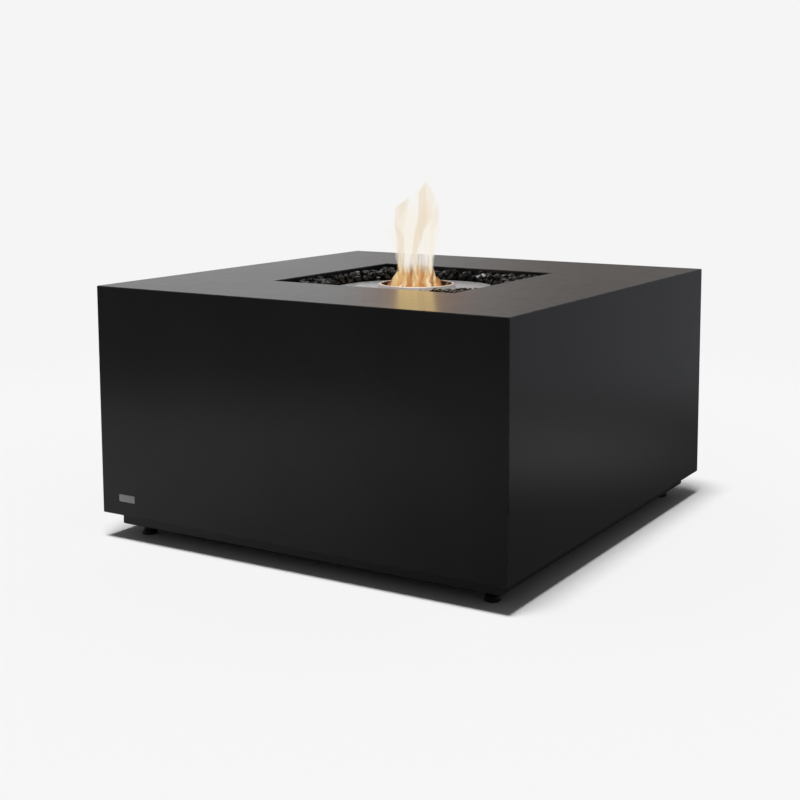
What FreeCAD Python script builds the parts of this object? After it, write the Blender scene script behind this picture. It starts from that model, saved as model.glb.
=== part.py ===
import FreeCAD, Part
import math
import os
import random

# Square fire table with a drop-in round bioethanol burner in a bed of black glass charcoal.
# Millimetres, +Z up. The origin is on the floor under the middle of the table, and -Y is the front.

V = FreeCAD.Vector

# Casing, cast in one piece in fibre-reinforced composite
casing_side = 762.0
casing_height = 380.0
casing_wall = 15.0
top_thickness = 20.0
return_width = 70.0
return_thickness = 20.0
casing_edge_bevel = 1.2
cavity_corner_radius = 18.0
opening_side = 350.0
opening_edge_bevel = 1.2

# Plinth, four mitred channels that open inwards, with a gusset in each corner
plinth_height = 22.0
plinth_recess = 23.0
plinth_sheet = 2.5
plinth_edge_bevel = 1.0
plinth_top_flange = 60.0
plinth_bottom_flange = 42.0
foot_plate_side = 84.0
foot_plate_cut = 46.0
foot_plate_thickness = 4.0

# Levelling feet
foot_gap = 20.0
foot_inset = 30.0
foot_pad_diameter = 25.0
foot_pad_height = 8.5
foot_pad_top_diameter = 20.0
foot_pad_edge_height = 5.0
foot_pad_flats = 18
stud_radius = 5.0
stud_engagement = 11.5
stud_collar_across = 17.0
stud_collar_height = 2.5
stud_heel_diameter = 8.0
stud_heel_depth = 4.0
foot_nut_across = 13.0
foot_nut_height = 14.0
foot_nut_flange_across = 17.0
foot_nut_flange = 1.0

# Bolts that hold the plinth to the casing; small fasteners are drawn with flats
fastener_flats = 8
plinth_bolt_diameter = 8.0
plinth_bolt_length = 18.0
plinth_bolt_across = 13.0
plinth_bolt_head = 5.3
plinth_bolt_inset = 50.0
plinth_bolt_spacing = 420.0
plinth_insert_across = 12.0
plinth_insert_length = 14.0

# Burner tray, a pressed pan hung under the table top, with a round collar for the burner
tray_depth = 38.0
tray_sheet = 1.5
tray_margin = 1.0
tray_corner_radius = 4.0
tray_flange = 20.0
gasket_thickness = 1.5
collar_gap = 2.0

# Screws that hold the tray under the table top, one near each corner
tray_screw_diameter = 6.0
tray_screw_length = 12.0
tray_screw_across = 10.0
tray_screw_head = 4.0
tray_insert_across = 9.0
tray_insert_length = 11.0

# Burner
plate_overhang = 14.0
plate_depth = 21.0
plate_sheet = 1.5
plate_rim_drop = 7.0
shell_radius = 136.0
shell_height = 76.0
shell_sheet = 1.2
reservoir_radius = 119.0
reservoir_height = 58.0
spacer_diameter = 22.0
spacer_circle_radius = 80.0
spacer_count = 3
level_tab_place = 54.0
level_tab_width = 10.0
level_tab_height = 40.0
level_tab_foot = 12.0
level_tab_sheet = 1.5

# Efficiency ring, loose in the burner's mouth
mouth_radius = 61.0
ring_skirt = 1.5
ring_seat = 6.0
ring_stand = 10.0
ring_drop = 14.5

# Badge plate, left bare
badge_width = 34.0
badge_height = 12.5
badge_thickness = 1.0
badge_proud = 0.4
badge_from_side = 37.0
badge_from_bottom = 23.5

# Glass charcoal: a lower layer that fills the pan and an upper layer of smaller lumps that shows
lower_lump_pitch = 38.0
lower_lump_height = 15.0
upper_lump_pitch = 26.0
upper_lump_below_rim = 4.0
upper_lump_spread = 7.0
upper_lump_facets = 3
lump_jitter = 0.22
lump_gap = 0.6
lump_seed = 7

# Clearances
running_gap = 0.05
fixing_gap = 0.3
drop_in_gap = 0.5

# How far a cutting body runs past the faces it cuts through
overcut = 1.0

# Heights above the floor
plinth_bottom = foot_gap
casing_bottom = plinth_bottom + plinth_height
table_top = casing_bottom + casing_height
slab_underside = table_top - top_thickness
tray_flange_top = slab_underside - gasket_thickness
tray_floor = table_top - tray_depth
plate_top = table_top - plate_depth
plate_underside = plate_top - plate_sheet
reservoir_bottom = plate_underside - reservoir_height
shell_bottom = plate_underside - shell_height

# Places in plan
plinth_half = casing_side / 2 - plinth_recess
foot_place = plinth_half - foot_inset
plinth_bolt_place = plinth_half - plinth_bolt_inset
tray_half = opening_side / 2 + tray_margin
tray_outer_half = tray_half + tray_sheet
tray_screw_place = tray_outer_half + tray_flange / 2
collar_radius = shell_radius + collar_gap
plate_radius = shell_radius + plate_overhang

SIDES = {"front": 0, "right": 90, "back": 180, "left": 270}
CORNERS = {"front_left": 0, "front_right": 90, "back_right": 180, "back_left": 270}


def turned(corners):
    """Body turned about the Z axis from its half section of (radius, height) corners."""
    points = [V(radius, 0, height) for radius, height in corners]
    return Part.Face(Part.makePolygon(points + points[:1])).revolve(V(0, 0, 0), V(0, 0, 1), 360)


def raised(corners, bottom, top):
    """Upright block from its plan of (x, y) corners."""
    points = [V(x, y, bottom) for x, y in corners]
    return Part.Face(Part.makePolygon(points + points[:1])).extrude(V(0, 0, top - bottom))


def square_block(half, bottom, top, corner_radius=0.0):
    """Upright square block about the Z axis, its four upright edges rounded if asked."""
    block = Part.makeBox(2 * half, 2 * half, top - bottom, V(-half, -half, bottom))
    if corner_radius > 0:
        upright = [edge for edge in block.Edges if edge.BoundBox.ZLength > 1e-6]
        block = block.makeFillet(corner_radius, upright)
    return block


def solid_of(loops):
    """Solid bounded by flat faces, each given as a loop of corner points."""
    faces = [Part.Face(Part.makePolygon(loop + loop[:1])) for loop in loops]
    return Part.Solid(Part.Shell(faces))


def ring_of_points(across, flats, height, spot):
    """Corners of a regular outline with an even number of flats, sized across them."""
    reach = across / 2 / math.cos(math.pi / flats)
    angles = [2 * math.pi * (step + 0.5) / flats for step in range(flats)]
    return [V(spot[0] + reach * math.cos(a), spot[1] + reach * math.sin(a), height) for a in angles]


def between(lower, upper):
    """Loops of the flat sides between two like outlines."""
    count = len(lower)
    return [[lower[i], lower[(i + 1) % count], upper[(i + 1) % count], upper[i]] for i in range(count)]


def flat_sided(across, flats, bottom, top, spot=(0.0, 0.0)):
    low = ring_of_points(across, flats, bottom, spot)
    high = ring_of_points(across, flats, top, spot)
    return solid_of([low[::-1], high] + between(low, high))


def hexagon(across, bottom, top, spot=(0.0, 0.0)):
    return flat_sided(across, 6, bottom, top, spot)


def small_rod(diameter, bottom, top, spot=(0.0, 0.0)):
    return flat_sided(diameter, fastener_flats, bottom, top, spot)


def spun(shape, degrees):
    copy = shape.copy()
    copy.rotate(V(0, 0, 0), V(0, 0, 1), degrees)
    return copy


def on_each_side(spots):
    """Spots (x, y) on the front side, repeated on all four sides."""
    placed = []
    for degrees in SIDES.values():
        turn = math.radians(degrees)
        for x, y in spots:
            placed.append((x * math.cos(turn) - y * math.sin(turn), x * math.sin(turn) + y * math.cos(turn)))
    return placed


def plinth_bolt_spots():
    return on_each_side([(side * plinth_bolt_spacing / 2, -plinth_bolt_place) for side in (-1, 1)])


def tray_screw_spots():
    return on_each_side([(-tray_screw_place, -tray_screw_place)])


def badge_blank(margin):
    """Block with the badge's outline, grown by margin, from its seat in the front face to its own face."""
    left = -casing_side / 2 + badge_from_side
    bottom = casing_bottom + badge_from_bottom
    front = -casing_side / 2 - badge_proud
    return Part.makeBox(
        badge_width + 2 * margin, badge_thickness, badge_height + 2 * margin,
        V(left - margin, front, bottom - margin),
    )


def casing():
    """Hollow box with a square opening in its top and an inward return round its open bottom."""
    half = casing_side / 2
    body = square_block(half, casing_bottom, table_top)
    body = body.makeChamfer(casing_edge_bevel, body.Edges)
    cavity = square_block(
        half - casing_wall, casing_bottom + return_thickness, slab_underside, cavity_corner_radius
    )
    mouth = square_block(
        half - casing_wall - return_width, casing_bottom - overcut, casing_bottom + return_thickness + overcut
    )
    opening = square_block(opening_side / 2, slab_underside - overcut, table_top + overcut)
    body = body.cut([cavity, mouth, opening])
    rim = []
    for edge in body.Edges:
        box = edge.BoundBox
        reach = max(abs(box.XMin), abs(box.XMax), abs(box.YMin), abs(box.YMax))
        if box.ZMin > table_top - 1e-3 and abs(reach - opening_side / 2) < 1e-3:
            rim.append(edge)
    body = body.makeChamfer(opening_edge_bevel, rim)
    insert_top = casing_bottom + max(plinth_insert_length, plinth_bolt_length) + fixing_gap
    holes = [badge_blank(fixing_gap)]
    for spot in plinth_bolt_spots():
        holes.append(hexagon(plinth_insert_across, casing_bottom - overcut, insert_top, spot))
    insert_top = slab_underside + max(tray_insert_length, tray_screw_length) + fixing_gap
    for spot in tray_screw_spots():
        holes.append(hexagon(tray_insert_across, slab_underside - overcut, insert_top, spot))
    return body.cut(holes)


def inserts(spots, across, bolt_diameter, bottom, length):
    """Threaded hexagonal sleeves cast into the composite."""
    sleeves = []
    for spot in spots:
        bore = small_rod(bolt_diameter + 2 * running_gap, bottom, bottom + length, spot)
        sleeves.append(hexagon(across, bottom, bottom + length, spot).cut(bore))
    return Part.makeCompound(sleeves)


def bolts(spots, head_across, head_height, diameter, seat, length):
    """Hexagon-head bolts, heads down, with the underside of each head at the seat's height."""
    group = []
    for spot in spots:
        head = hexagon(head_across, seat - head_height, seat, spot)
        shank = small_rod(diameter, seat, seat + length, spot)
        group.append(head.fuse(shank).removeSplitter())
    return Part.makeCompound(group)


def plinth_rail():
    """Front channel of the plinth, mitred at both ends, with its bolt holes and its share of the foot holes."""
    outer = -plinth_half
    inner = outer + plinth_sheet
    top = plinth_bottom + plinth_height
    section = [
        (outer, plinth_bottom + plinth_edge_bevel),
        (outer + plinth_edge_bevel, plinth_bottom),
        (outer + plinth_bottom_flange, plinth_bottom),
        (outer + plinth_bottom_flange, plinth_bottom + plinth_sheet),
        (inner, plinth_bottom + plinth_sheet),
        (inner, top - plinth_sheet),
        (outer + plinth_top_flange, top - plinth_sheet),
        (outer + plinth_top_flange, top),
        (outer, top),
    ]
    points = [V(-plinth_half, y, z) for y, z in section]
    channel = Part.Face(Part.makePolygon(points + points[:1])).extrude(V(2 * plinth_half, 0, 0))
    reach = plinth_half + overcut
    mitre = raised([(0, 0), (-reach, -reach), (reach, -reach)], plinth_bottom - overcut, top + overcut)
    bolt_hole = plinth_bolt_diameter + 2 * fixing_gap
    foot_hole = foot_nut_across + 2 * running_gap
    foot_hole_top = plinth_bottom + plinth_sheet + overcut
    holes = []
    for side in (-1, 1):
        bolt_spot = (side * plinth_bolt_spacing / 2, -plinth_bolt_place)
        foot_spot = (side * foot_place, -foot_place)
        holes.append(small_rod(bolt_hole, top - plinth_sheet - overcut, top + overcut, bolt_spot))
        holes.append(small_rod(foot_hole, plinth_bottom - overcut, foot_hole_top, foot_spot))
    return channel.common(mitre).cut(holes)


def foot_plate():
    """Gusset welded on the lower flanges in the front left corner, with a hole for the foot's nut."""
    near = -plinth_half + plinth_sheet
    far = near + foot_plate_side
    bottom = plinth_bottom + plinth_sheet
    top = bottom + foot_plate_thickness
    cut = far - foot_plate_cut
    spot = (-foot_place, -foot_place)
    plate = raised([(near, near), (far, near), (far, cut), (cut, far), (near, far)], bottom, top)
    hole = small_rod(foot_nut_across + 2 * running_gap, bottom - overcut, top + overcut, spot)
    return plate.cut(hole)


def foot_nut():
    """Flanged insert nut pressed up through the front left corner of the plinth."""
    spot = (-foot_place, -foot_place)
    flange_bottom = plinth_bottom - foot_nut_flange
    top = plinth_bottom + foot_nut_height
    flange = small_rod(foot_nut_flange_across, flange_bottom, plinth_bottom, spot)
    body = small_rod(foot_nut_across, plinth_bottom, top, spot)
    bore = small_rod(2 * (stud_radius + running_gap), flange_bottom - overcut, top + overcut, spot)
    return flange.fuse(body).cut(bore).removeSplitter()


def foot_pad():
    """Moulded glide under the front left corner, with grip flats and a socket for the stud's heel."""
    spot = (-foot_place, -foot_place)
    base = ring_of_points(foot_pad_diameter, foot_pad_flats, 0, spot)
    edge = ring_of_points(foot_pad_diameter, foot_pad_flats, foot_pad_edge_height, spot)
    crown = ring_of_points(foot_pad_top_diameter, foot_pad_flats, foot_pad_height, spot)
    body = solid_of([base[::-1], crown] + between(base, edge) + between(edge, crown))
    socket_floor = foot_pad_height - stud_heel_depth - fixing_gap
    heel_corners = stud_heel_diameter / math.cos(math.pi / fastener_flats)
    socket = small_rod(heel_corners + 2 * running_gap, socket_floor, foot_pad_height + overcut, spot)
    return body.cut(socket)


def foot_stud():
    """Threaded stud with a spanner collar and a heel that turns in the pad."""
    spot = (-foot_place, -foot_place)
    collar_bottom = foot_pad_height + fixing_gap
    thread_bottom = collar_bottom + stud_collar_height
    thread_top = plinth_bottom + stud_engagement
    heel = small_rod(stud_heel_diameter, foot_pad_height - stud_heel_depth, collar_bottom, spot)
    collar = hexagon(stud_collar_across, collar_bottom, thread_bottom, spot)
    thread = Part.makeCylinder(stud_radius, thread_top - thread_bottom, V(*spot, thread_bottom))
    return heel.fuse([collar, thread]).removeSplitter()


def tray():
    """Square pan with an outward flange, and a round collar that carries the burner by its plate."""
    pan_bottom = tray_floor - tray_sheet
    flange_bottom = tray_flange_top - tray_sheet
    body = square_block(tray_outer_half, pan_bottom, tray_flange_top, tray_corner_radius + tray_sheet)
    flange = square_block(tray_outer_half + tray_flange, flange_bottom, tray_flange_top)
    hollow = square_block(tray_half, tray_floor, tray_flange_top + overcut, tray_corner_radius)
    outer_radius = collar_radius + tray_sheet
    collar = turned([
        (collar_radius, pan_bottom),
        (outer_radius, pan_bottom),
        (outer_radius, plate_underside),
        (collar_radius, plate_underside),
    ])
    hole = Part.makeCylinder(outer_radius, tray_sheet + 2 * overcut, V(0, 0, pan_bottom - overcut))
    screw_hole = tray_screw_diameter + 2 * fixing_gap
    screw_holes = [
        small_rod(screw_hole, flange_bottom - overcut, tray_flange_top + overcut, spot)
        for spot in tray_screw_spots()
    ]
    return body.fuse(flange).cut([hollow, hole] + screw_holes).fuse(collar).removeSplitter()


def tray_gasket():
    """Flat heat-proof frame between the tray's flange and the underside of the table top."""
    outer = square_block(tray_outer_half + tray_flange, tray_flange_top, slab_underside)
    inner = square_block(tray_half, tray_flange_top - overcut, slab_underside + overcut)
    screw_hole = tray_screw_diameter + 2 * fixing_gap
    holes = [
        small_rod(screw_hole, tray_flange_top - overcut, slab_underside + overcut, spot)
        for spot in tray_screw_spots()
    ]
    return outer.cut([inner] + holes)


def burner_plate():
    """Brushed disc with a turned-down rim and a round hole for the mouth."""
    hole_radius = mouth_radius + ring_skirt + drop_in_gap
    rim_bottom = plate_top - plate_rim_drop
    return turned([
        (hole_radius, plate_underside),
        (plate_radius - plate_sheet, plate_underside),
        (plate_radius - plate_sheet, rim_bottom),
        (plate_radius, rim_bottom),
        (plate_radius, plate_top),
        (hole_radius, plate_top),
    ])


def cup(radius, bottom):
    """Round sheet cup whose rim meets the underside of the burner plate."""
    return turned([
        (0, bottom),
        (radius, bottom),
        (radius, plate_underside),
        (radius - shell_sheet, plate_underside),
        (radius - shell_sheet, bottom + shell_sheet),
        (0, bottom + shell_sheet),
    ])


def burner_shell():
    """Drawn outer cup, welded under the plate inside the collar."""
    return cup(shell_radius, shell_bottom)


def fuel_reservoir():
    """Round bowl that holds the fuel, welded to the underside of the plate."""
    return cup(reservoir_radius, reservoir_bottom)


def reservoir_spacers():
    """Ceramic blocks that keep the hot bowl off the outer shell."""
    blocks = []
    for step in range(spacer_count):
        angle = 2 * math.pi * step / spacer_count
        spot = (spacer_circle_radius * math.cos(angle), spacer_circle_radius * math.sin(angle))
        blocks.append(small_rod(spacer_diameter, shell_bottom + shell_sheet, reservoir_bottom, spot))
    return Part.makeCompound(blocks)


def fuel_level_tab():
    """Strip that stands on the bowl's floor; its bent head shows the highest fuel level."""
    floor = reservoir_bottom + shell_sheet
    head = floor + level_tab_height
    left = level_tab_place - level_tab_foot
    face = level_tab_place - level_tab_sheet
    section = [
        (left, floor),
        (level_tab_place, floor),
        (level_tab_place, head),
        (left, head),
        (left, head - level_tab_sheet),
        (face, head - level_tab_sheet),
        (face, floor + level_tab_sheet),
        (left, floor + level_tab_sheet),
    ]
    points = [V(x, -level_tab_width / 2, z) for x, z in section]
    return Part.Face(Part.makePolygon(points + points[:1])).extrude(V(0, level_tab_width, 0))


def efficiency_ring():
    """Turned ring that drops through the plate; its collar stands on the plate and raises the mouth."""
    skirt_radius = mouth_radius + ring_skirt
    collar_outside = skirt_radius + drop_in_gap + ring_seat
    return turned([
        (mouth_radius, plate_top - ring_drop),
        (skirt_radius, plate_top - ring_drop),
        (skirt_radius, plate_top),
        (collar_outside, plate_top),
        (collar_outside, plate_top + ring_stand),
        (mouth_radius, plate_top + ring_stand),
    ])


def clipped(loops, normal, distance):
    """Convex body, as loops of corner points, cut back to where normal.p is no more than distance."""
    kept = []
    rim = []
    for loop in loops:
        part = []
        for point, following in zip(loop, loop[1:] + loop[:1]):
            above = point.dot(normal) - distance
            above_next = following.dot(normal) - distance
            if above <= 0:
                part.append(point)
            if above * above_next < 0:
                cross = point + (following - point) * (above / (above - above_next))
                part.append(cross)
                if all((cross - known).Length > 1e-5 for known in rim):
                    rim.append(cross)
        if len(part) > 2:
            kept.append(part)
    if len(rim) > 2:
        centre = sum(rim, V()) / len(rim)
        across = (rim[0] - centre).normalize()
        along = normal.cross(across)
        rim.sort(key=lambda p: math.atan2((p - centre).dot(along), (p - centre).dot(across)))
        kept.append(rim)
    return kept


def block_loops(half, bottom, top):
    """The six faces of a square block, as loops of corner points."""
    floor = [V(-half, -half, bottom), V(half, -half, bottom), V(half, half, bottom), V(-half, half, bottom)]
    roof = [V(p.x, p.y, top) for p in floor]
    return [floor[::-1], roof] + between(floor, roof)


def lump_seeds(draw, pitch):
    """Jittered triangular grid of lump centres, a little past the square opening."""
    half = opening_side / 2
    row_step = pitch * math.sqrt(3) / 2
    rows = math.ceil(half / row_step)
    columns = math.ceil(half / pitch)
    seeds = []
    for row in range(-rows, rows + 1):
        shift = pitch / 2 if row % 2 else 0.0
        for column in range(-columns - 1, columns + 1):
            x = column * pitch + shift + pitch * draw.uniform(-lump_jitter, lump_jitter)
            y = row * row_step + pitch * draw.uniform(-lump_jitter, lump_jitter)
            seeds.append(V(x, y, 0))
    return seeds


def lump_cell(seed, seeds, pitch, bottom, top):
    """Share of the glass bed that is nearer to one centre than to any other, clear of walls and burner."""
    wall = opening_side / 2 - drop_in_gap
    keep_out = plate_radius + drop_in_gap
    cell = block_loops(wall, bottom, top)
    for other in seeds:
        apart = other - seed
        if 0 < apart.Length < 3 * pitch:
            normal = apart.normalize()
            cell = clipped(cell, normal, ((other + seed) / 2).dot(normal) - lump_gap / 2)
    outward = V(seed.x, seed.y, 0).normalize()
    return clipped(cell, outward * -1, -keep_out)


def floor_area(loops, bottom):
    """Area of the face that lies on the bottom plane."""
    for loop in loops:
        if all(abs(p.z - bottom) < 1e-6 for p in loop):
            twice = sum(p.x * q.y - q.x * p.y for p, q in zip(loop, loop[1:] + loop[:1]))
            return abs(twice) / 2
    return 0.0


def glass_layer(draw, pitch, bottom, top, spread=0.0, facets=0):
    """One layer of lumps by side of the table; slanted facets are struck off each top, up to spread lower."""
    layer = {name: [] for name in SIDES}
    seeds = lump_seeds(draw, pitch)
    smallest = pitch * pitch / 4
    for seed in seeds:
        outside = max(abs(seed.x), abs(seed.y)) > opening_side / 2
        if outside or math.hypot(seed.x, seed.y) < plate_radius:
            continue
        cell = lump_cell(seed, seeds, pitch, bottom, top)
        if floor_area(cell, bottom) < smallest:
            continue
        peak = top - draw.uniform(0, spread)
        for facet in range(facets):
            bearing = 2 * math.pi * (facet + draw.uniform(-0.3, 0.3)) / facets
            slope = math.radians(draw.uniform(18, 48))
            level = V(math.cos(bearing), math.sin(bearing), 0) * math.sin(slope)
            normal = level + V(0, 0, math.cos(slope))
            apex = V(seed.x, seed.y, peak + draw.uniform(0, spread / 5))
            cell = clipped(cell, normal, apex.dot(normal))
        bearing = math.degrees(math.atan2(seed.x, -seed.y))
        side = list(SIDES)[int(((bearing + 45) % 360) // 90)]
        layer[side].append(solid_of(cell))
    return {name: Part.makeCompound(lumps) for name, lumps in layer.items()}


def glass_bed():
    """Flat-topped lumps on the tray's floor and a faceted layer on them, by side."""
    draw = random.Random(lump_seed)
    middle = tray_floor + lower_lump_height
    crest = table_top - upper_lump_below_rim
    lower = glass_layer(draw, lower_lump_pitch, tray_floor, middle)
    upper = glass_layer(draw, upper_lump_pitch, middle, crest, upper_lump_spread, upper_lump_facets)
    nodes = {"glass_lower_" + name: lumps for name, lumps in lower.items()}
    nodes.update({"glass_upper_" + name: lumps for name, lumps in upper.items()})
    return nodes


def plinth_nodes():
    """The mitred base, its gussets, and the bolts and inserts that join it to the casing."""
    spots = plinth_bolt_spots()
    flange_bottom = plinth_bottom + plinth_height - plinth_sheet
    nodes = {
        "plinth_inserts": inserts(
            spots, plinth_insert_across, plinth_bolt_diameter, casing_bottom, plinth_insert_length
        ),
        "plinth_bolts": bolts(
            spots, plinth_bolt_across, plinth_bolt_head, plinth_bolt_diameter,
            flange_bottom, plinth_bolt_length,
        ),
    }
    for name, degrees in SIDES.items():
        nodes["plinth_rail_" + name] = spun(plinth_rail(), degrees)
    for name, degrees in CORNERS.items():
        nodes["foot_plate_" + name] = spun(foot_plate(), degrees)
    return nodes


def foot_nodes():
    """Nut, pad and stud of the levelling foot in each corner."""
    nodes = {}
    for name, degrees in CORNERS.items():
        nodes["foot_nut_" + name] = spun(foot_nut(), degrees)
        nodes["foot_pad_" + name] = spun(foot_pad(), degrees)
        nodes["foot_stud_" + name] = spun(foot_stud(), degrees)
    return nodes


def tray_nodes():
    """The burner tray with the gasket, screws and inserts that hold it under the table top."""
    spots = tray_screw_spots()
    seat = tray_flange_top - tray_sheet
    return {
        "burner_tray": tray(),
        "tray_gasket": tray_gasket(),
        "tray_screws": bolts(
            spots, tray_screw_across, tray_screw_head, tray_screw_diameter, seat, tray_screw_length
        ),
        "tray_inserts": inserts(
            spots, tray_insert_across, tray_screw_diameter, slab_underside, tray_insert_length
        ),
    }


def burner_nodes():
    return {
        "burner_plate": burner_plate(),
        "burner_shell": burner_shell(),
        "fuel_reservoir": fuel_reservoir(),
        "reservoir_spacers": reservoir_spacers(),
        "fuel_level_tab": fuel_level_tab(),
        "efficiency_ring": efficiency_ring(),
    }


def build():
    """Every node of the table, by name."""
    nodes = {"casing": casing(), "badge_plate": badge_blank(0.0)}
    for group in (plinth_nodes(), foot_nodes(), tray_nodes(), burner_nodes(), glass_bed()):
        nodes.update(group)
    return nodes


os.makedirs("parts", exist_ok=True)
for node, shape in build().items():
    shape.exportStep("parts/" + node + ".step")
    print(node, len(shape.Solids), "solids,", round(shape.Volume / 1000, 1), "cm3, valid", shape.isValid())
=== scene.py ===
import math
import random

import bmesh
import bpy
import numpy as np
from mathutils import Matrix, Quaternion, Vector


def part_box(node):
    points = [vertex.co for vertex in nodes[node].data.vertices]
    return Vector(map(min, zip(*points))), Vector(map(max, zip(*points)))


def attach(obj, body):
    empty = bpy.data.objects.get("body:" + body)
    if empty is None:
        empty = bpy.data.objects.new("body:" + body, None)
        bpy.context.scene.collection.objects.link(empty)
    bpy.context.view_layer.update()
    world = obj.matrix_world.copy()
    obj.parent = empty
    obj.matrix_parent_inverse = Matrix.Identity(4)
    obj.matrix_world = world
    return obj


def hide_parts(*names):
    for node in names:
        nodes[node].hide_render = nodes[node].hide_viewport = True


# Looks of a square composite fire table with a drop-in bioethanol burner in black glass charcoal.
# Metres, +Z up, on the same frame as the table's solids; -Y is the front with the badge plate.

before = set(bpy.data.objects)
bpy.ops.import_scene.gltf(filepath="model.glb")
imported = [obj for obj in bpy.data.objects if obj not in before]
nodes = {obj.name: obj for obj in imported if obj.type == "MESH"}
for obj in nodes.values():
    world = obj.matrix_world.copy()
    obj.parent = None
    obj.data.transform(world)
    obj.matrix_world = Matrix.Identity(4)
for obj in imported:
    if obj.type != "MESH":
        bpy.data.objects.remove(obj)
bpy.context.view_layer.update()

SIDES = ("front", "right", "back", "left")
CORNERS = {"front_left": (-1, -1), "front_right": (1, -1), "back_right": (1, 1), "back_left": (-1, 1)}

# Main places, read from the solids
casing_low, casing_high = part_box("casing")
half_side = casing_high.x
table_top = casing_high.z
casing_bottom = casing_low.z
plate_low, plate_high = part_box("burner_plate")
ring_low, ring_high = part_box("efficiency_ring")
shell_low, shell_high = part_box("burner_shell")
bowl_low, bowl_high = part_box("fuel_reservoir")
spacers_low, spacers_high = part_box("reservoir_spacers")
bed_low, bed_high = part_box("glass_lower_front")
bed_half = -bed_low.y
badge_low, badge_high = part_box("badge_plate")
plinth_bolts_low, plinth_bolts_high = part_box("plinth_bolts")
tray_screws_low, tray_screws_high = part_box("tray_screws")

# Burner, as the solids have it; the ring's collar leans inward by RING_LEAN at its top
MOUTH_RADIUS = 0.061
RING_SKIRT = 0.0015
RING_LEAN = 0.0035
RING_EDGE_ROUNDING = 0.0022
RING_THROAT_ROUNDING = 0.0012
PLATE_SHEET = 0.0015
PLATE_HOLE_GAP = 0.0005
PLATE_EDGE_ROUNDING = 0.0030
PLATE_STEPS = 144
CUP_SHEET = 0.0012
CUP_BOTTOM_ROUNDING = 0.008
RING_AND_CUP_STEPS = 96
SPACER_RADIUS = 0.011
SPACER_ROUNDING = 0.001
SPACER_CIRCLE = 0.080
SPACER_COUNT = 3
SPACER_STEPS = 36
BURR = 0.0004
WELD = 1e-7
NEAR = 1e-6

# Levelling feet; a pad's ribs run up from PAD_RIB_FOOT to PAD_RIB_HEAD, outside PAD_RIB_RADIUS
FOOT_PLACE = 0.328
PAD_RADIUS = 0.0125
PAD_TOP_RADIUS = 0.010
PAD_HEIGHT = 0.0085
PAD_EDGE_HEIGHT = 0.005
PAD_SOCKET_RADIUS = 0.0044
PAD_SOCKET_DEPTH = 0.0043
PAD_ROUNDING = 0.0008
PAD_SHOULDER_ROUNDING = 0.0015
PAD_SOCKET_ROUNDING = 0.0003
PAD_RIBS = 24
PAD_RIB_DEPTH = 0.0005
PAD_RIB_RADIUS = 0.009
PAD_RIB_FOOT = 0.0010
PAD_RIB_HEAD = 0.0079
STUD_RADIUS = 0.005
STUD_STEPS = 32
STUD_PITCH = 0.0015
STUD_TOP = 0.0315
HEEL_RADIUS = 0.004
HEEL_BOTTOM = 0.0045
HEEL_ROUNDING = 0.0005
COLLAR_ACROSS = 0.017
COLLAR_LOW = 0.0088
COLLAR_HIGH = 0.0113
COLLAR_WASHER_FACE = 0.0002
FOOT_NUT_RADIUS = 0.0065
FOOT_NUT_FLANGE_RADIUS = 0.0085
FOOT_NUT_LOW = 0.019
FOOT_NUT_SEAT = 0.020
FOOT_NUT_HIGH = 0.034
FOOT_NUT_BORE = 0.00515
FOOT_NUT_ROUNDING = 0.0003
FOOT_NUT_PLAIN_BAND = 0.001
FOOT_NUT_TAPER = 0.0005
KNURLS = 30
KNURL_DEPTH = 0.00025

# Bolts and screws: size across the head, height of the head, radius and pitch of the thread; then how far
# the plinth's bolts sit from the middle, along a side and out towards it
PLINTH_BOLT = {"across": 0.013, "head": 0.0053, "radius": 0.004, "pitch": 0.00125}
TRAY_SCREW = {"across": 0.010, "head": 0.004, "radius": 0.003, "pitch": 0.0010}
PLINTH_BOLT_SPOT = (0.210, 0.308)
BOLT_WASHER_FACE = 0.0003

# Heads and threads: the crown's and the washer face's share of the size across, the thread's depth in
# pitches, its end chamfer in depths, and how steep its flanks are
HEAD_CHAMFER = math.tan(math.radians(28))
HEAD_CROWN = 0.93
HEAD_FACE = 0.90
HEAD_STEPS = 48
THREAD_DEPTH = 0.61
THREAD_CHAMFER = 1.2
THREAD_FLANK = 2.5

# Badge plate: roundings of its corners and of its front edges
BADGE_CORNER = 0.0012
BADGE_EDGE = 0.00025

# Marks on surfaces, each from its start to its end: rubbed edges by distance from the edge, pits with painted
# shade by distance from their middle in cells, dust by height, throat stain with painted shade and straw tint
# by radius, and soot with painted shade by height at the lip
EDGE_RUB = (0.0005, 0.0018)
PITS = (0.020, 0.045)
PITS_PER_METRE = 42.0
FLOOR_DUST = (0.0, 0.004)
THROAT_STAIN_AND_SHADE = (MOUTH_RADIUS + 0.0002, MOUTH_RADIUS + 0.0014)
HEAT_TINT = (MOUTH_RADIUS, MOUTH_RADIUS + 0.022)
SOOT_AND_SHADE_LINE = (ring_high.z - 0.003, ring_high.z + 0.001)

# Lumps of glass: how many shapes and breaks, their form in shares of their size, their sizes, which shrink as
# the heap grows, and how many are tried, all over and then at the near corner alone
GLASS_SEED = 11
LUMP_SHAPES = 40
LUMP_BREAKS = 11
LUMP_BREAK_DEPTH = (0.72, 1.0)
LUMP_WIDTH = (0.70, 0.95)
LUMP_THICKNESS = (0.55, 0.85)
LUMP_EDGE = 0.035
LUMP_TILT = 24
LUMP_SMALL = 0.0055
LUMP_LARGE = 0.0115
LUMP_SHRINK = 0.6
LUMP_REACH = 1.5
LUMP_COUNT = 1300
LUMP_TRIES = 48
CORNER_LUMPS = 110
CORNER_REACH = 0.125
UPRIGHT = 1e-4

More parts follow.
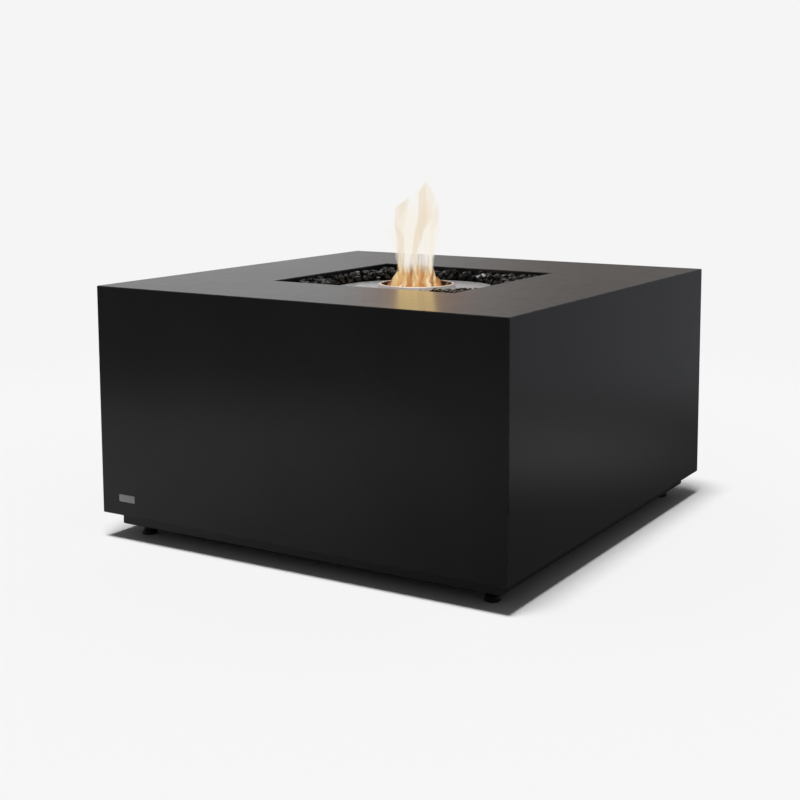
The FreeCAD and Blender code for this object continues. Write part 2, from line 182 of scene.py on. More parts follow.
# Heap of lumps: the cells of its height map and the spare ones round it, the gaps that it keeps, and how
# high it may grow: under the table top, lower in front of a line, and higher towards the near corner
HEAP_CELL = 0.0012
HEAP_MARGIN = 30
OUT_OF_REACH = 1.0
HEAP_GAP = 0.0002
HEAP_PLATE_GAP = 0.0008
HEAP_BELOW_TOP = 0.0025
HEAP_NEAR_CORNER_RISE = 0.0045
HEAP_RISE_REACH = 0.110
HEAP_RISE_SLOPE = 2.0
HEAP_FRONT_LINE = -0.125
HEAP_FRONT_WIDTH = 0.020
HEAP_FRONT_DROP = 0.0035

# Flame, seen only while the burner is lit
FLAME_FOOT = 0.400
FLAME_DENSITY = 200.0
FLAME_GLOW = 2.85
FLAME_LIGHT = 5.0
FLAME_STEP_RATE = 0.12
# Heights over its foot between which it turns pale, breaks up and thins
FLAME_PALES = (0.048, 0.074)
FLAME_BREAKS = (0.060, 0.140)
FLAME_THINS = (0.110, 0.230)
# A tongue's steps up and round it, then its sideways wobble, depth and least half width in mm
FLAME_ROWS = 28
FLAME_SIDES = 14
FLAME_WOBBLE = 3.0
FLAME_WOBBLE_PHASE = 9.0
FLAME_DEEPEST = 8.0
FLAME_THINNEST = 0.05
MM = 0.001
FLAME_EMBER = (0.26, 0.060, 0.016, 1.0)
FLAME_COPPER = (0.54, 0.24, 0.085, 1.0)
FLAME_AMBER = (0.82, 0.50, 0.20, 1.0)
FLAME_STRAW = (0.95, 0.74, 0.40, 1.0)
FLAME_PEACH = (0.80, 0.66, 0.48, 1.0)
FLAME_CREAM = (0.93, 0.88, 0.79, 1.0)
FLAME_BRIGHT = (0.98, 0.90, 0.62, 1.0)
FLAME_MIRRORED = (1.00, 0.74, 0.32, 1.0)
# Each kind of tongue: its tone low down, its tone higher up, and how dense it is
FLAME_KINDS = {
    "cream": (FLAME_STRAW, FLAME_CREAM, 1.0),
    "peach": (FLAME_AMBER, FLAME_PEACH, 0.75),
    "haze": (FLAME_AMBER, FLAME_CREAM, 0.30),
    "bright": (FLAME_BRIGHT, FLAME_CREAM, 1.3),
    "straw": (FLAME_STRAW, FLAME_STRAW, 1.0),
    "amber": (FLAME_AMBER, FLAME_STRAW, 1.0),
    "copper": (FLAME_COPPER, FLAME_AMBER, 1.0),
    "ember": (FLAME_EMBER, FLAME_COPPER, 1.0),
}
# The way to the right in the camera's view, along the floor, and the way away from it
VIEW_RIGHT = Vector((0.863, 0.505))
VIEW_AWAY = Vector((-VIEW_RIGHT.y, VIEW_RIGHT.x))
# The tall streams: kind and height, then the middle to the right and away, and half width, at even steps
# from the foot to the tip, all in mm
FLAME_STREAMS = (
    ("peach", 165,
     ((-42, -4, 7), (-27, 2, 5), (-26, 2, 6), (-28, 4, 7), (-31, 6, 10), (-27, 6, 11), (-7, 4, 0))),
    ("cream", 152,
     ((-22, 10, 6), (-18, 8, 5), (-14, 4, 7), (-20, 2, 14), (-10, -4, 0))),
    ("peach", 194,
     ((-4, -14, 7), (-1, -10, 5), (-2, -6, 5), (3, -6, 8), (13, -6, 13), (18, -4, 15), (19, -4, 0))),
    ("cream", 190,
     ((20, 2, 7), (20, 2, 6), (23, 2, 8), (22, -2, 13), (20, -6, 0))),
    ("cream", 150,
     ((33, -6, 5), (27, 0, 3), (29, 0, 5), (32, 4, 7), (33, 6, 0))),
    ("cream", 170,
     ((-3, 0, 5), (-2, -2, 5), (-4, -2, 4), (-6, -4, 7), (2, -4, 0))),
    ("peach", 168,
     ((25, 8, 2), (24, 8, 3), (26, 8, 4), (31, 4, 7), (34, 0, 0))),
    ("haze", 120,
     ((-30, 8, 3), (-26, 6, 4), (-30, 4, 7), (-40, 2, 12), (-58, 0, 2))),
    ("haze", 184,
     ((-6, 4, 20), (-3, 4, 28), (0, 4, 32), (-2, 2, 40), (14, 0, 6))),
    ("haze", 198,
     ((4, -6, 10), (6, -6, 16), (12, -6, 20), (20, -4, 20), (20, 0, 6))),
    ("haze", 165,
     ((-20, 6, 8), (-16, 6, 12), (-16, 6, 16), (-24, 4, 18), (-12, 0, 4))),
)
# The licks round the mouth: kind, middle to the right and away at the foot, to the right at the tip, half
# width and height, in mm
FLAME_LICKS = (
    ("amber", -32, 24, -24, 10, 40),
    ("copper", -14, 30, -12, 10, 38),
    ("amber", 4, 32, 5, 10, 42),
    ("amber", 22, 26, 20, 9, 38),
    ("copper", -46, 14, -36, 6, 24),
    ("copper", 40, 16, 31, 6, 26),
    ("straw", -41, -6, -26, 6, 56),
    ("copper", -50, 0, -42, 4, 20),
    ("amber", -33, -12, -27, 4, 40),
    ("bright", -21, -20, -18, 2.4, 58),
    ("copper", -13, -14, -12, 5, 38),
    ("bright", -6, -22, -3, 2.6, 52),
    ("bright", 5, -20, -1, 2.0, 44),
    ("copper", 9, -12, 8, 6, 42),
    ("amber", 15, -14, 13, 5, 40),
    ("straw", 20, -8, 19, 4, 54),
    ("ember", 27, -16, 26, 3.6, 48),
    ("copper", 40, -6, 33, 5, 27),
    ("ember", 45, 4, 38, 4, 18),
    ("bright", -26, -46, -25, 5, 15),
    ("copper", -12, -46, -12, 8, 18),
    ("amber", -2, -50, -2, 6, 13),
    ("copper", 9, -46, 8, 8, 18),
    ("bright", 24, -28, 17, 5.5, 27),
    ("amber", 35, -26, 28, 5, 22),
    ("peach", 52, -6, 52, 3, 18),
)
# A lick from foot to tip: the share of its way up, of how far away it stands, and of its half width
LICK_PROFILE = ((0, 1.0, 0.75), (1 / 3, 0.85, 1.0), (2 / 3, 0.75, 0.6), (1, 0.65, 0.0))

# Painted reflection: a warm glow over the burner that only reflections show, which tints the table top warm
# round the flame
MIRRORED_GLOW_REACH = 0.15
MIRRORED_GLOW_HEIGHT = 0.474
MIRRORED_GLOW_RISE = 0.042
MIRRORED_GLOW_CORE = 0.02
MIRRORED_GLOW_STEPS = 24
MIRRORED_GLOW_DENSITY = 3.4
MIRRORED_GLOW_TONE = (0.95, 0.32, 0.06, 1.0)

# Camera, solved from the corners of the table in the photograph
CAMERA_BEARING = math.radians(30.2685)
CAMERA_DIP = math.radians(6.8872)
CAMERA_PLACE = Vector((1.2218, -1.9926, 0.6715))
FOCAL_PIXELS = 1353.10
IMAGE_SIDE = 800
IMAGE_CENTRE = (446.0, 295.47)
SENSOR_WIDTH = 36.0

# Lamp
SUN_LEVEL = 2.855
SUN_TILT = math.radians(8)
SUN_SPREAD = math.radians(15)

# Surroundings: as the eye sees them, then the room as it is mirrored, with a lit screen at the back left
BACKDROP = 0.913
SKY_LEVEL = 0.12
SCREEN_SIDE = Vector((-0.94, 0.34, 0.10)).normalized()
SCREEN_START = 0.697
SCREEN_END = 0.835
ROOM_SHARE = 0.288
ROOM_SIDE_SHARE = 0.10
ROOM_DEPTH_SHARE = 0.14
ROOM_LEAST = 0.16
ROOM_TINT = (-0.35, 0.15)
ROOM_WARM = (1.08, 0.99, 0.93, 1.0)
ROOM_COOL = (0.98, 1.00, 1.05, 1.0)

# Floor: as the eye sees it, then as it is mirrored, lit towards the left and in a patch at the back right
FLOOR_RADIUS = 2.6
FLOOR_STEPS = 96
FLOOR_TONE = 0.913
FLOOR_FADE = (1.25, 2.3)
FLOOR_MIRRORED_MIDDLE = -0.35
FLOOR_MIRRORED_FADE = (1.05, 2.05)
FLOOR_MIRRORED_SIDE = Vector((-1.0, -0.10))
FLOOR_MIRRORED_LIT = (-0.40, 0.85)
FLOOR_MIRRORED_LEAST = 0.13
LIT_PATCH = Vector((0.92, 0.52))
LIT_PATCH_FADE = (0.08, 0.54)
LIT_PATCH_SHARE = 0.54


class Wire:
    """A socket in a material's nodes; sums written with it add the Math nodes."""

    def __init__(self, finish, socket):
        self.finish = finish
        self.socket = socket

    def maths(self, operation, *others):
        """One Math node on this socket and the others."""
        return self.finish.node("Math", {"operation": operation}, dict(enumerate((self,) + others)))

    def __add__(self, other):
        return self.maths("ADD", other)

    def __sub__(self, other):
        return self.maths("SUBTRACT", other)

    def __rsub__(self, other):
        return self.finish.node("Math", {"operation": "SUBTRACT"}, {0: other, 1: self})

    def __mul__(self, other):
        return self.maths("MULTIPLY", other)

    def __pow__(self, other):
        return self.maths("POWER", other)

    def __abs__(self):
        return self.maths("ABSOLUTE")

    __radd__ = __add__
    __rmul__ = __mul__

    def least(self, other):
        return self.maths("MINIMUM", other)

    def most(self, other):
        return self.maths("MAXIMUM", other)

    def step(self, start, end):
        """0 at start, 1 at end, smooth in between."""
        inputs = {"Value": self, "From Min": start, "From Max": end}
        return self.finish.node("MapRange", {"interpolation_type": "SMOOTHSTEP"}, inputs, "Result")


class Finish:
    """A node material in the making."""

    def __init__(self, name, tree=None):
        if tree is None:
            self.material = bpy.data.materials.new(name)
            self.material.use_nodes = True
            tree = self.material.node_tree
        self.tree = tree
        self.tree.nodes.clear()

    def node(self, kind, settings=None, inputs=None, output=0):
        """Adds one node: its settings first, then values or links for its inputs; returns one output."""
        made = self.tree.nodes.new("ShaderNode" + kind)
        for key, value in (settings or {}).items():
            setattr(made, key, value)
        for key, value in (inputs or {}).items():
            socket = made.inputs[key]
            if isinstance(value, Wire):
                self.tree.links.new(value.socket, socket)
            else:
                socket.default_value = value
        return Wire(self, made.outputs[output]) if made.outputs else made

    def place(self):
        """Position on the piece in metres, in the table's frame at rest."""
        return self.node("TexCoord", output="Object")

    def axes(self, vector):
        """The three parts of a vector."""
        split = self.node("SeparateXYZ", inputs={0: vector})
        outputs = split.socket.node.outputs
        return [Wire(self, outputs[i]) for i in range(3)]

    def joined(self, x, y, z):
        """Vector from its three parts."""
        return self.node("CombineXYZ", inputs={0: x, 1: y, 2: z})

    def scaled(self, vector, factors):
        """Vector with each part times its own factor."""
        return self.node("VectorMath", {"operation": "MULTIPLY"}, {0: vector, 1: factors})

    def noise(self, vector, scale, detail=3.0, roughness=0.55):
        """Cloudy noise from 0 to 1; scale is in cells per metre."""
        values = {"Vector": vector, "Scale": scale, "Detail": detail, "Roughness": roughness}
        return self.node("TexNoise", inputs=values)

    def spun(self, place):
        """Distance from the table's middle, and fine brushing in circles round it, 1500 lines to a metre."""
        x, y, z = self.axes(place)
        away = length(x, y)
        lines = self.joined(away * 1500.0, x * 9.0, y * 9.0 + z * 700.0)
        return away, self.noise(lines, 1.0, detail=2.0)

    def cells(self, vector, scale):
        """Distance to the nearest of scattered points, in cells; scale is in cells per metre."""
        return self.node("TexVoronoi", inputs={"Vector": vector, "Scale": scale})

    def rays(self, *kinds):
        """1 for each of these kinds of ray, such as Camera or Glossy, and otherwise 0."""
        outputs = self.node("LightPath").socket.node.outputs
        return [Wire(self, outputs["Is %s Ray" % kind]) for kind in kinds]

    def blend(self, factor, first, second):
        """Colour that runs from first to second as factor runs from 0 to 1."""
        inputs = {0: factor, 6: first, 7: second}
        return self.node("Mix", {"data_type": "RGBA"}, inputs, 2)

    def bump(self, height, distance, strength=1.0):
        """Normal for a height from 0 to 1 that stands for distance metres."""
        return self.node("Bump", inputs={"Height": height, "Distance": distance, "Strength": strength})

    def surface(self, **inputs):
        """Ends the material in a Principled surface with these inputs, underscores for spaces."""
        named = {key.replace("_", " "): value for key, value in inputs.items()}
        self.end(self.node("BsdfPrincipled", inputs=named))
        return self.material

    def vapour(self, density, colour, glow):
        """Ends the material in a volume that hides what is behind it as it glows."""
        veil = self.node("VolumeAbsorption", inputs={"Color": grey(0.0), "Density": density})
        shine = self.node("Emission", inputs={"Color": colour, "Strength": glow})
        self.end(self.node("AddShader", inputs={0: veil, 1: shine}), "Volume")
        return self.material

    def end(self, shader, inlet="Surface"):
        """Links the last shader to the material's output."""
        self.node("OutputMaterial", inputs={inlet: shader})


def grey(level):
    """Opaque grey."""
    return (level, level, level, 1.0)


def length(x, y):
    """Length of a level line with these parts, as a socket."""
    return (x * x + y * y) ** 0.5


# Finishes


def sealed_composite():
    """Fine fibre-reinforced composite, cast near black and sealed, with clouding, pits darkened with painted
    shade, and rubbed edges.
    """
    finish = Finish("charcoal_composite")
    place = finish.place()
    cloud = finish.noise(place, 7.0, detail=4.0, roughness=0.6)
    mottle = finish.noise(place, 55.0)
    grain = finish.noise(place, 1100.0, detail=2.0)
    pits = 1 - finish.cells(place, PITS_PER_METRE).step(*PITS)
    tone = (cloud * 0.65 + mottle * 0.15 + grain * 0.20).step(0.34, 0.66)
    colour = finish.blend(tone, (0.0074, 0.0069, 0.0078, 1.0), (0.0098, 0.0091, 0.0104, 1.0))
    x, y, z = finish.axes(place)
    from_x = half_side - abs(x)
    from_y = half_side - abs(y)
    from_top = table_top - z
    from_foot = z - casing_bottom
    flat = from_x.least(from_y)
    second = from_x.most(from_y).least(from_top).least(from_foot)
    near_edge = flat.most(from_top.least(from_foot)).least(second)
    rubbed = (1 - near_edge.step(*EDGE_RUB)) * mottle.step(0.35, 0.60)
    colour = finish.blend(rubbed * 0.30, colour, (0.050, 0.048, 0.048, 1.0))
    # Painted shade: the pits' colour is darkened towards black for the shade inside them.
    colour = finish.blend(pits * 0.7, colour, grey(0.003))
    return finish.surface(
        Base_Color=colour,
        Roughness=cloud * 0.10 + 0.40,
        Specular_IOR_Level=0.08,
        Coat_Weight=cloud * 0.04 + 0.298 - pits * 0.25,
        Coat_Roughness=0.17,
        Normal=finish.bump(grain - pits, 0.00002, strength=0.5),
    )


def powder_coat(name, tone, roughness):
    """Black powder coat with fine orange peel."""
    finish = Finish(name)
    place = finish.place()
    peel = finish.noise(place, 650.0, detail=2.0)
    cloud = finish.noise(place, 14.0)
    colour = finish.blend(cloud, grey(tone * 0.75), grey(tone * 1.25))
    return finish.surface(
        Base_Color=colour,
        Roughness=peel * 0.12 + roughness,
        Specular_IOR_Level=0.30,
        Normal=finish.bump(peel, 0.00006),
    )


def spun_stainless():
    """Stainless sheet brushed in circles, with a straw tint round the mouth from the heat."""
    finish = Finish("spun_stainless")
    place = finish.place()
    away, brushing = finish.spun(place)
    cloud = finish.noise(place, 24.0)
    heat = (1 - away.step(*HEAT_TINT)) * (cloud * 0.7 + 0.3)
    colour = finish.blend(brushing, (0.50, 0.50, 0.515, 1.0), (0.66, 0.66, 0.675, 1.0))
    colour = finish.blend(heat * 0.55, colour, (0.46, 0.35, 0.22, 1.0))
    return finish.surface(
        Base_Color=colour,
        Metallic=0.82,
        Roughness=brushing * 0.16 + cloud * 0.08 + 0.26,
        Normal=finish.bump(brushing, 0.000015),
    )


def scorched_and_shaded_stainless():
    """The ring's steel: straw and brown from the flame on its lip; down its throat a red-brown stain and
    soot, partly real scorching and partly painted shade.
    """
    finish = Finish("scorched_and_shaded_stainless")
    place = finish.place()
    away, brushing = finish.spun(place)
    cloud = finish.noise(place, 45.0)
    # Painted shade: the throat's red-brown stain and its soot stand partly for real scorching and soot,
    # partly for the shade down the deep mouth.
    throat = 1 - away.step(*THROAT_STAIN_AND_SHADE)
    height = finish.axes(place)[2]
    soot_and_shade = throat * (1 - height.step(*SOOT_AND_SHADE_LINE) * cloud.step(0.25, 0.70))
    colour = finish.blend(brushing, (0.53, 0.485, 0.45, 1.0), (0.65, 0.60, 0.56, 1.0))
    colour = finish.blend(throat * 0.8, colour, (0.10, 0.030, 0.012, 1.0))
    colour = finish.blend(soot_and_shade, colour, (0.006, 0.003, 0.002, 1.0))
    return finish.surface(
        Base_Color=colour,
        Metallic=0.45 - soot_and_shade * 0.35,
        Roughness=brushing * 0.10 + soot_and_shade * 0.25 + 0.56,
        Specular_IOR_Level=0.25,
        Normal=finish.bump(brushing, 0.000015),
    )


def drawn_stainless():
    """Deep-drawn stainless with faint upright drawing marks and heat bloom."""
    finish = Finish("drawn_stainless")
    place = finish.place()
    marks = finish.noise(finish.scaled(place, (420.0, 420.0, 18.0)), 1.0, detail=2.0)
    cloud = finish.noise(place, 16.0)
    colour = finish.blend(cloud.step(0.35, 0.7), (0.52, 0.52, 0.53, 1.0), (0.50, 0.44, 0.36, 1.0))
    return finish.surface(
        Base_Color=colour,
        Metallic=1.0,
        Roughness=marks * 0.15 + 0.26,
        Normal=finish.bump(marks, 0.00002),
    )


def brushed_stainless():
    """Stainless brushed in straight lines from side to side."""
    finish = Finish("brushed_stainless")
    place = finish.place()
    lines = finish.noise(finish.scaled(place, (60.0, 2600.0, 2600.0)), 1.0, detail=2.0)
    cloud = finish.noise(place, 90.0)
    colour = finish.blend(lines * 0.7 + cloud * 0.3, (0.165, 0.165, 0.168, 1.0), (0.29, 0.29, 0.294, 1.0))
    return finish.surface(
        Base_Color=colour,
        Metallic=1.0,
        Roughness=lines * 0.15 + 0.30,
        Normal=finish.bump(lines, 0.00001),
    )


def metal(name, dark, light, roughness, fineness):
    """Plated or turned metal with cloudy tone and fine marks, so many to a metre."""
    finish = Finish(name)
    place = finish.place()
    cloud = finish.noise(place, 60.0)
    marks = finish.noise(place, fineness, detail=2.0)
    return finish.surface(
        Base_Color=finish.blend(cloud, dark, light),
        Metallic=1.0,
        Roughness=marks * 0.2 + roughness,
        Normal=finish.bump(marks, 0.00002),
    )


def moulded_nylon():
    """Black moulded plastic with a fine spark-eroded texture, dusty near the floor."""
    finish = Finish("black_nylon")
    place = finish.place()
    height = finish.axes(place)[2]
    texture = finish.noise(place, 2400.0, detail=2.0)
    dust = (1 - height.step(*FLOOR_DUST)) * finish.noise(place, 300.0)
    colour = finish.blend(dust * 0.5, grey(0.006), (0.040, 0.038, 0.035, 1.0))
    return finish.surface(
        Base_Color=colour,
        Roughness=texture * 0.15 + 0.50,
        Specular_IOR_Level=0.30,
        Normal=finish.bump(texture, 0.00004),
    )


def gasket_fibre():
    """Pale ceramic-fibre sheet with matted strands."""
    finish = Finish("gasket_fibre")
    place = finish.place()
    strands = finish.noise(finish.scaled(place, (900.0, 300.0, 900.0)), 1.0, detail=4.0)
    colour = finish.blend(strands, (0.50, 0.49, 0.45, 1.0), (0.74, 0.73, 0.69, 1.0))
    return finish.surface(Base_Color=colour, Roughness=0.9, Normal=finish.bump(strands, 0.0003))


def pressed_ceramic():
    """Off-white pressed ceramic with small dark specks."""
    finish = Finish("pressed_ceramic")
    place = finish.place()
    specks = 1 - finish.cells(place, 700.0).step(0.10, 0.16)
    cloud = finish.noise(place, 120.0)
    colour = finish.blend(cloud, (0.70, 0.68, 0.61, 1.0), (0.82, 0.80, 0.74, 1.0))
    colour = finish.blend(specks * 0.5, colour, grey(0.2))
    return finish.surface(Base_Color=colour, Roughness=0.7, Normal=finish.bump(cloud, 0.0001))


def black_glass():
    """Opaque black glass with rippled breaks and a little dust in patches."""
    finish = Finish("black_glass")
    place = finish.place()
    ripple = finish.noise(place, 260.0, detail=2.0)
    dust = finish.noise(place, 120.0).step(0.52, 0.75)
    colour = finish.blend(dust, grey(0.0065), (0.022, 0.021, 0.022, 1.0))
    return finish.surface(
        Base_Color=colour,
        Roughness=dust * 0.20 + 0.32,
        Specular_IOR_Level=0.28,
        Normal=finish.bump(ripple, 0.0006, strength=0.5),
    )


# Meshes


def dress(names, material):
    """Gives whole nodes one material."""
    for name in names:
        mesh = nodes[name].data
        mesh.materials.clear()
        mesh.materials.append(material)


def added(name, data):
    """A new object in the scene, with this mesh, lamp or camera."""
    thing = bpy.data.objects.new(name, data)
    bpy.context.scene.collection.objects.link(thing)
    return thing


def piece(name, shape, material, body, stands_for, crease=32.0):
    """One object from (points, faces), in place of solids, smooth up to the crease angle in degrees."""
    points, faces = shape
    mesh = bpy.data.meshes.new(name)
    mesh.from_pydata([tuple(p) for p in points], [], faces)
    made = bmesh.new()
    made.from_mesh(mesh)
    bmesh.ops.remove_doubles(made, verts=made.verts, dist=WELD)
    bmesh.ops.recalc_face_normals(made, faces=made.faces)
    made.to_mesh(mesh)
    made.free()
    if crease > 0:
        mesh.shade_smooth()
        mesh.set_sharp_from_angle(angle=math.radians(crease))
    mesh.materials.append(material)
    thing = added(name, mesh)
    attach(thing, body)
    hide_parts(*stands_for)


def rounded(corners, steps=5):
    """Outline of (a, b) points from corners (a, b, radius); each corner with a radius becomes an arc."""
    outline = []
    count = len(corners)
    for number, (across, up, radius) in enumerate(corners):
        here = Vector((across, up))
        if radius == 0:
            outline.append(here)
            continue
        before = (Vector(corners[number - 1][:2]) - here).normalized()
        after = (Vector(corners[(number + 1) % count][:2]) - here).normalized()
        half = before.angle(after) / 2
        centre = here + (before + after).normalized() * radius / math.sin(half)
        start = here + before * radius / math.tan(half) - centre
        end = here + after * radius / math.tan(half) - centre
        for step in range(steps + 1):
            share = step / steps
            outline.append(centre + (start * (1 - share) + end * share).normalized() * radius)
    return outline


def skinned(rings, ends="open"):
    """Points and faces over like rings of points; ends are open, capped, or joined to each other."""
    size = len(rings[0])
    points = [point for ring in rings for point in ring]
    faces = []
    spans = len(rings) if ends == "joined" else len(rings) - 1
    for span in range(spans):
        low = span * size
        high = (span + 1) % len(rings) * size
        for step in range(size):
            following = (step + 1) % size
            faces.append([low + step, low + following, high + following, high + step])
    if ends == "capped":
        faces.append(list(range(size))[::-1])
        faces.append([len(points) - size + step for step in range(size)])
    return points, faces


def around(steps, radius, height, spot=(0.0, 0.0)):
    """Ring of points round an upright axis; radius and height are numbers or functions of the angle."""
    ring = []
    for step in range(steps):
        angle = 2 * math.pi * step / steps
        reach = radius(angle) if callable(radius) else radius
        level = height(angle) if callable(height) else height
        ring.append(Vector((spot[0] + reach * math.cos(angle), spot[1] + reach * math.sin(angle), level)))
    return ring


def turned(outline, steps, spot=(0.0, 0.0), shape=None):
    """Body turned from a closed outline of (radius, height); shape may change a radius by its angle."""
    rings = []
    for radius, height in outline:

        def reach(angle, radius=radius, height=height):
            return shape(angle, radius, height)

        shaped = shape is not None and radius > 0
        rings.append(around(steps, reach if shaped else radius, height, spot))
    return skinned(rings, "joined")


def merged(parts):
    """Several (points, faces) in one."""
    points = []
    faces = []
    for some_points, some_faces in parts:
        start = len(points)
        points.extend(some_points)
        faces.extend([[start + corner for corner in face] for face in some_faces])
    return points, faces


def taken(made):
    """The points and faces of a bmesh, which is let go."""
    made.verts.index_update()
    points = [tuple(vert.co) for vert in made.verts]
    faces = [[vert.index for vert in face.verts] for face in made.faces]
    made.free()
    return points, faces


def hexagon_reach(across):
    """Distance from the middle of a hexagon to its outline, by angle."""
    sixth = math.pi / 3

    def reach(angle):
        return across / 2 / math.cos((angle + sixth / 2) % sixth - sixth / 2)

    return reach


def threaded(radius, pitch, low, high, spot, columns=24, rows_per_turn=6):
    """Rod with a right-handed thread, chamfered at both ends."""
    depth = THREAD_DEPTH * pitch
    chamfer = depth * THREAD_CHAMFER
    rows = max(2, round((high - low) / pitch * rows_per_turn))
    rings = []
    for row in range(rows + 1):
        level = low + (high - low) * row / rows
        cap = radius - max(0.0, chamfer - (level - low)) - max(0.0, chamfer - (high - level))

        def reach(angle, level=level, cap=cap):
            phase = (level / pitch - angle / (2 * math.pi)) % 1.0
            ridge = min(1.0, max(0.0, THREAD_FLANK * (0.5 - abs(phase - 0.5))))
            return min(cap, radius - depth * (1 - ridge))

        rings.append(around(columns, reach, level, spot))
    return skinned(rings, "capped")


def hexagon_head(across, low, high, spot, washer_face):
    """Hexagon with its far corners chamfered round and a thin washer face under it."""
    reach = hexagon_reach(across)
    crown = across / 2 * HEAD_CROWN
    face = across / 2 * HEAD_FACE
    lean = 1 if high > low else -1

    def shoulder(angle):
        return high - lean * (reach(angle) - crown) * HEAD_CHAMFER

    seat = low + lean * washer_face
    rings = [
        around(HEAD_STEPS, face, low, spot),
        around(HEAD_STEPS, face, seat, spot),
        around(HEAD_STEPS, reach, seat, spot),
        around(HEAD_STEPS, reach, shoulder, spot),
        around(HEAD_STEPS, crown, high, spot),
    ]
    return skinned(rings, "capped")


# Pieces


def burner_plate(steel):
    """Round plate with a rolled-down rim and a hole for the ring."""
    hole = MOUTH_RADIUS + RING_SKIRT + PLATE_HOLE_GAP
    inner = plate_high.x - PLATE_SHEET
    under = plate_high.z - PLATE_SHEET
    outline = rounded([
        (hole, under, 0.0),
        (hole, plate_high.z, BURR),
        (plate_high.x, plate_high.z, PLATE_EDGE_ROUNDING),
        (plate_high.x, plate_low.z, BURR),
        (inner, plate_low.z, BURR),
        (inner, under, PLATE_EDGE_ROUNDING - PLATE_SHEET),
    ])
    plate = turned(outline, PLATE_STEPS)
    piece("burner_top_plate", plate, steel, "burner", ["burner_plate"])


def efficiency_ring(steel):
    """Loose ring whose leaning collar stands on the plate and whose skirt drops through it."""
    outer = MOUTH_RADIUS + RING_SKIRT
    outline = rounded([
        (MOUTH_RADIUS, ring_low.z, BURR),
        (outer, ring_low.z, BURR),
        (outer, plate_high.z, 0.0),
        (ring_high.x, plate_high.z, 0.0),
        (ring_high.x - RING_LEAN, ring_high.z, RING_EDGE_ROUNDING),
        (MOUTH_RADIUS, ring_high.z, RING_THROAT_ROUNDING),
    ])
    ring = turned(outline, RING_AND_CUP_STEPS)
    piece("burner_mouth_ring", ring, steel, "ring", ["efficiency_ring"])


def drawn_cup(name, node, low, high, steel):
    """Deep-drawn cup with a rounded bottom edge."""
    inner = high.x - CUP_SHEET
    outline = rounded([
        (0.0, low.z, 0.0),
        (high.x, low.z, CUP_BOTTOM_ROUNDING),
        (high.x, high.z, 0.0),
        (inner, high.z, 0.0),
        (inner, low.z + CUP_SHEET, CUP_BOTTOM_ROUNDING - CUP_SHEET),
        (0.0, low.z + CUP_SHEET, 0.0),
    ])
    piece(name, turned(outline, RING_AND_CUP_STEPS), steel, "burner", [node])


def spacers(ceramic):
    """Pressed ceramic discs between the bowl and the shell."""
    outline = rounded([
        (0.0, spacers_low.z, 0.0),
        (SPACER_RADIUS, spacers_low.z, SPACER_ROUNDING),
        (SPACER_RADIUS, spacers_high.z, SPACER_ROUNDING),
        (0.0, spacers_high.z, 0.0),
    ], steps=3)
    discs = []
    for number in range(SPACER_COUNT):
        angle = 2 * math.pi * number / SPACER_COUNT
        spot = (SPACER_CIRCLE * math.cos(angle), SPACER_CIRCLE * math.sin(angle))
        discs.append(turned(outline, SPACER_STEPS, spot))
    piece("ceramic_spacers", merged(discs), ceramic, "burner", ["reservoir_spacers"])


def glide(corner, spot, nylon):
    """Ribbed pad with the socket for its stud."""

    def ribbed(angle, radius, height):
        grip = radius > PAD_RIB_RADIUS and PAD_RIB_FOOT < height < PAD_RIB_HEAD
        return radius - PAD_RIB_DEPTH * (0.5 - 0.5 * math.cos(angle * PAD_RIBS)) if grip else radius

    socket_floor = PAD_HEIGHT - PAD_SOCKET_DEPTH
    outline = rounded([
        (0.0, 0.0, 0.0),
        (PAD_RADIUS, 0.0, PAD_ROUNDING),
        (PAD_RADIUS, PAD_EDGE_HEIGHT, PAD_SHOULDER_ROUNDING),
        (PAD_TOP_RADIUS, PAD_HEIGHT, PAD_ROUNDING),
        (PAD_SOCKET_RADIUS, PAD_HEIGHT, PAD_SOCKET_ROUNDING),
        (PAD_SOCKET_RADIUS, socket_floor, 0.0),
        (0.0, socket_floor, 0.0),
    ], steps=4)
    pad = turned(outline, PAD_RIBS * 4, spot, ribbed)
    piece("glide_" + corner, pad, nylon, "pad_" + corner, ["foot_pad_" + corner])


def threaded_stud(corner, spot, oxide):
    """Stud with a heel that turns in the pad, a collar for a spanner, and its thread."""
    heel = turned(rounded([
        (0.0, HEEL_BOTTOM, 0.0),
        (HEEL_RADIUS, HEEL_BOTTOM, HEEL_ROUNDING),
        (HEEL_RADIUS, COLLAR_LOW, 0.0),
        (0.0, COLLAR_LOW, 0.0),
    ], steps=3), STUD_STEPS, spot)
    collar = hexagon_head(COLLAR_ACROSS, COLLAR_LOW, COLLAR_HIGH, spot, COLLAR_WASHER_FACE)
    thread = threaded(STUD_RADIUS, STUD_PITCH, COLLAR_HIGH, STUD_TOP, spot, STUD_STEPS, rows_per_turn=8)
    stud = merged([heel, collar, thread])
    piece("threaded_stud_" + corner, stud, oxide, "stud_" + corner, ["foot_stud_" + corner])


